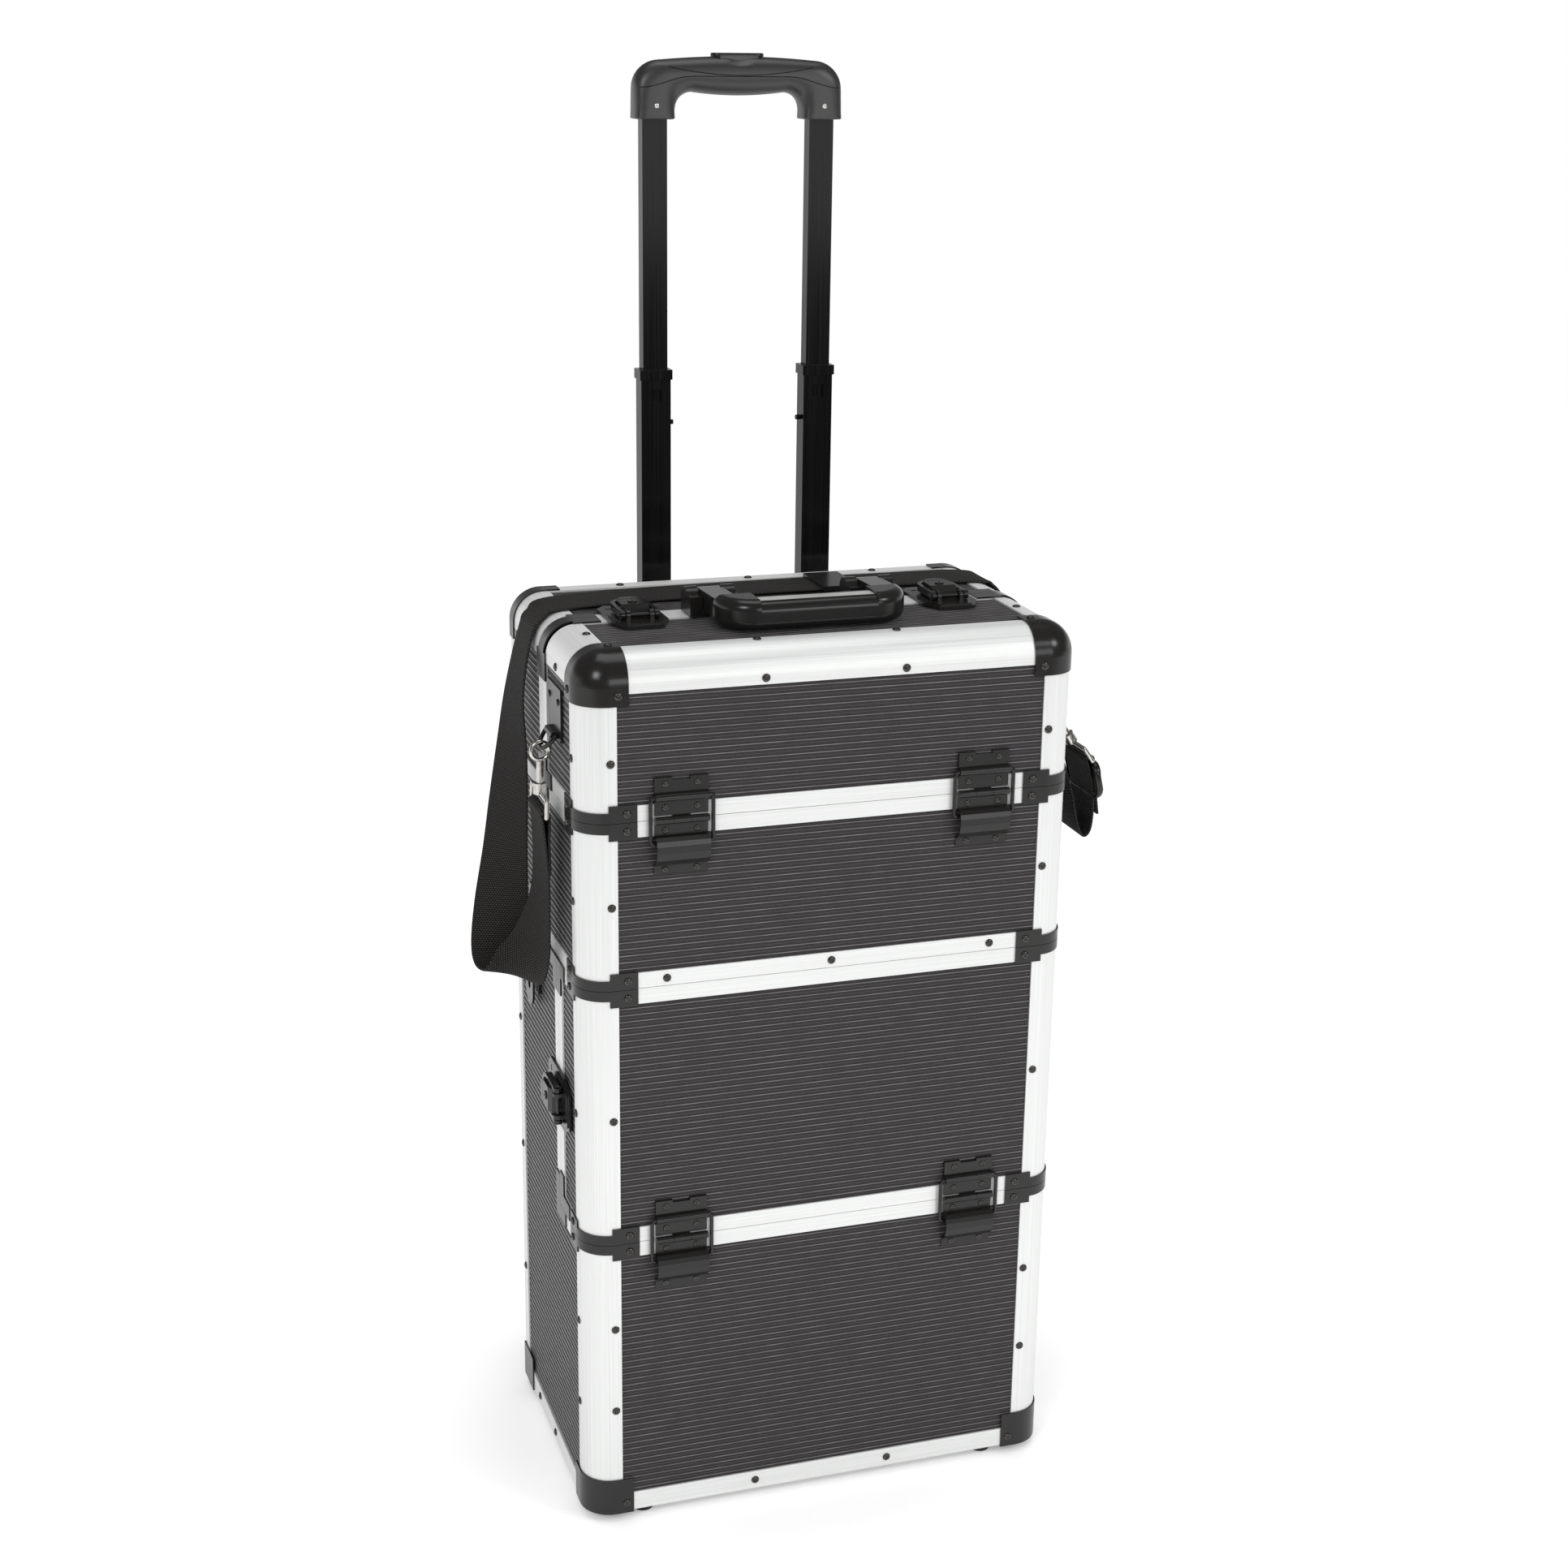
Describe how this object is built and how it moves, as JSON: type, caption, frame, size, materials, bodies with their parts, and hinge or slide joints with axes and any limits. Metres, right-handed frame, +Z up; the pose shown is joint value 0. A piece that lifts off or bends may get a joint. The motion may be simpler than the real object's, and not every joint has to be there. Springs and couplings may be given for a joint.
{
  "type": "aluminium trolley case",
  "caption": "Two stacked aluminium-framed tool cases with ribbed black panels, black corners, wire stop hinges, a folding carry handle, a shoulder strap, a telescopic handle and wheels.",
  "frame": {"origin": "on the floor below the middle of the whole part's bounding box", "axes": "+X to the case's right seen from the front, +Y from the front to the back with the wheels, +Z up"},
  "size_m": [0.5284, 0.3286, 1.1488],
  "materials": {
    "panel": "ribbed laminate, satin",
    "frame": "brushed, anodised",
    "tube": "black anodised, satin",
    "black_steel": "black, semi-gloss",
    "plastic": "matt black",
    "rubber": "matt",
    "wheel": "matt tread on a plastic hub",
    "webbing": "woven"
  },
  "bodies": {
    "tub": {"tub_front_panel": "panel", "tub_side_panels": "panel", "tub_back_panel": "panel", "tub_deck_panels": "panel", "tub_frame": "frame", "tub_corners": "black_steel", "tub_rivets": "black_steel", "tub_hinge_leaves": "black_steel", "tub_catch_plates": "black_steel", "rubber_feet": "rubber", "wheel_brackets": "plastic", "tele_sleeves": "tube", "tele_brackets": "plastic"},
    "door": {"door_front_panel": "panel", "door_side_panels": "panel", "door_top_panel": "panel", "door_frame": "frame", "door_corners": "black_steel", "door_rivets": "black_steel", "door_hinge_leaves": "black_steel", "door_locks": "black_steel"},
    "tray": {"tray_front_panel": "panel", "tray_side_panels": "panel", "tray_back_panel": "panel", "tray_deck_panels": "panel", "tray_frame": "frame", "tray_corners": "black_steel", "tray_rivets": "black_steel", "tray_hinge_leaves": "black_steel", "tray_catch_plates": "black_steel"},
    "lid": {"lid_front_panel": "panel", "lid_side_panels": "panel", "lid_top_panel": "panel", "lid_frame": "frame", "lid_corners": "black_steel", "lid_rivets": "black_steel", "lid_hinge_leaves": "black_steel", "lid_locks": "black_steel", "strap_rings": "black_steel", "handle_mounts": "black_steel", "shoulder_strap": "webbing", "strap_hooks": "black_steel", "strap_sliders": "plastic"},
    "carry_handle": {"carry_handle": "plastic"},
    "lid_lever_left": {"lid_lever_left": "black_steel"},
    "lid_lever_right": {"lid_lever_right": "black_steel"},
    "door_lever_left": {"door_lever_left": "black_steel"},
    "door_lever_right": {"door_lever_right": "black_steel"},
    "lid_bail_left": {"lid_bail_left": "black_steel"},
    "lid_bail_right": {"lid_bail_right": "black_steel"},
    "door_bail_left": {"door_bail_left": "black_steel"},
    "door_bail_right": {"door_bail_right": "black_steel"},
    "clasp_left": {"clasp_left": "black_steel"},
    "clasp_right": {"clasp_right": "black_steel"},
    "tele_middle": {"tele_middle": "tube"},
    "grip_button": {"grip_button": "plastic"},
    "wheel_left": {"wheel_left": "wheel"},
    "wheel_right": {"wheel_right": "wheel"},
    "tele_inner": {"tele_inner": "tube", "tele_grip": "plastic"}
  },
  "joints": [
    {"name": "tray_lift", "type": "slide", "parent": "tub", "child": "tray", "axis": [0, 0, 1], "range_m": [0, 0.2]},
    {"name": "door_hinge", "type": "hinge", "parent": "tub", "child": "door", "pos_m": [0, -0.1579, 0.252], "axis": [1, 0, 0], "range_deg": [0, 90]},
    {"name": "lid_hinge", "type": "hinge", "parent": "tray", "child": "lid", "pos_m": [0, -0.1579, 0.601], "axis": [1, 0, 0], "range_deg": [0, 90]},
    {"name": "lid_bail_left_pivot", "type": "hinge", "parent": "lid", "child": "lid_bail_left", "pos_m": [-0.122, -0.1579, 0.619], "axis": [1, 0, 0], "range_deg": [-60, 0]},
    {"name": "door_bail_left_pivot", "type": "hinge", "parent": "door", "child": "door_bail_left", "pos_m": [-0.122, -0.1579, 0.27], "axis": [1, 0, 0], "range_deg": [-60, 0]},
    {"name": "lid_bail_right_pivot", "type": "hinge", "parent": "lid", "child": "lid_bail_right", "pos_m": [0.122, -0.1579, 0.619], "axis": [1, 0, 0], "range_deg": [-60, 0]},
    {"name": "door_bail_right_pivot", "type": "hinge", "parent": "door", "child": "door_bail_right", "pos_m": [0.122, -0.1579, 0.27], "axis": [1, 0, 0], "range_deg": [-60, 0]},
    {"name": "lid_lever_left_pivot", "type": "hinge", "parent": "lid", "child": "lid_lever_left", "pos_m": [-0.128, -0.0577, 0.7358], "axis": [1, 0, 0], "range_deg": [0, 85]},
    {"name": "lid_lever_right_pivot", "type": "hinge", "parent": "lid", "child": "lid_lever_right", "pos_m": [0.128, -0.0577, 0.7358], "axis": [1, 0, 0], "range_deg": [0, 85]},
    {"name": "door_lever_left_pivot", "type": "hinge", "parent": "door", "child": "door_lever_left", "pos_m": [-0.2068, -0.0957, 0.35], "axis": [0, 0, 1], "range_deg": [0, 85]},
    {"name": "door_lever_right_pivot", "type": "hinge", "parent": "door", "child": "door_lever_right", "pos_m": [0.2068, -0.0957, 0.35], "axis": [0, 0, -1], "range_deg": [0, 85]},
    {"name": "clasp_left_pivot", "type": "hinge", "parent": "tub", "child": "clasp_left", "pos_m": [-0.2046, 0.0103, 0.447], "axis": [0, 1, 0], "range_deg": [0, 180]},
    {"name": "clasp_right_pivot", "type": "hinge", "parent": "tub", "child": "clasp_right", "pos_m": [0.2046, 0.0103, 0.447], "axis": [0, -1, 0], "range_deg": [0, 180]},
    {"name": "carry_handle_pivot", "type": "hinge", "parent": "lid", "child": "carry_handle", "pos_m": [0, -0.0347, 0.741], "axis": [-1, 0, 0], "range_deg": [0, 90]},
    {"name": "tele_middle_slide", "type": "slide", "parent": "tub", "child": "tele_middle", "axis": [0, 0, 1], "range_m": [-0.145, 0]},
    {"name": "tele_inner_slide", "type": "slide", "parent": "tele_middle", "child": "tele_inner", "axis": [0, 0, 1], "range_m": [-0.195, 0]},
    {"name": "grip_button_press", "type": "slide", "parent": "tele_inner", "child": "grip_button", "axis": [0, 0, -1], "range_m": [0, 0.004], "stiffness_N_per_m": 500, "springref_m": -0.004},
    {"name": "wheel_left_axle", "type": "hinge", "parent": "tub", "child": "wheel_left", "pos_m": [-0.156, 0.1243, 0.04], "axis": [1, 0, 0], "continuous": true},
    {"name": "wheel_right_axle", "type": "hinge", "parent": "tub", "child": "wheel_right", "pos_m": [0.156, 0.1243, 0.04], "axis": [1, 0, 0], "continuous": true}
  ],
  "couplings": [
    {"joint": "door_hinge", "follows": "tray_lift", "rad_per_m": 7.85},
    {"joint": "lid_bail_left_pivot", "follows": "lid_hinge", "ratio": -0.65},
    {"joint": "door_bail_left_pivot", "follows": "tray_lift", "rad_per_m": -5.1025},
    {"joint": "lid_bail_right_pivot", "follows": "lid_hinge", "ratio": -0.65},
    {"joint": "door_bail_right_pivot", "follows": "tray_lift", "rad_per_m": -5.1025}
  ]
}
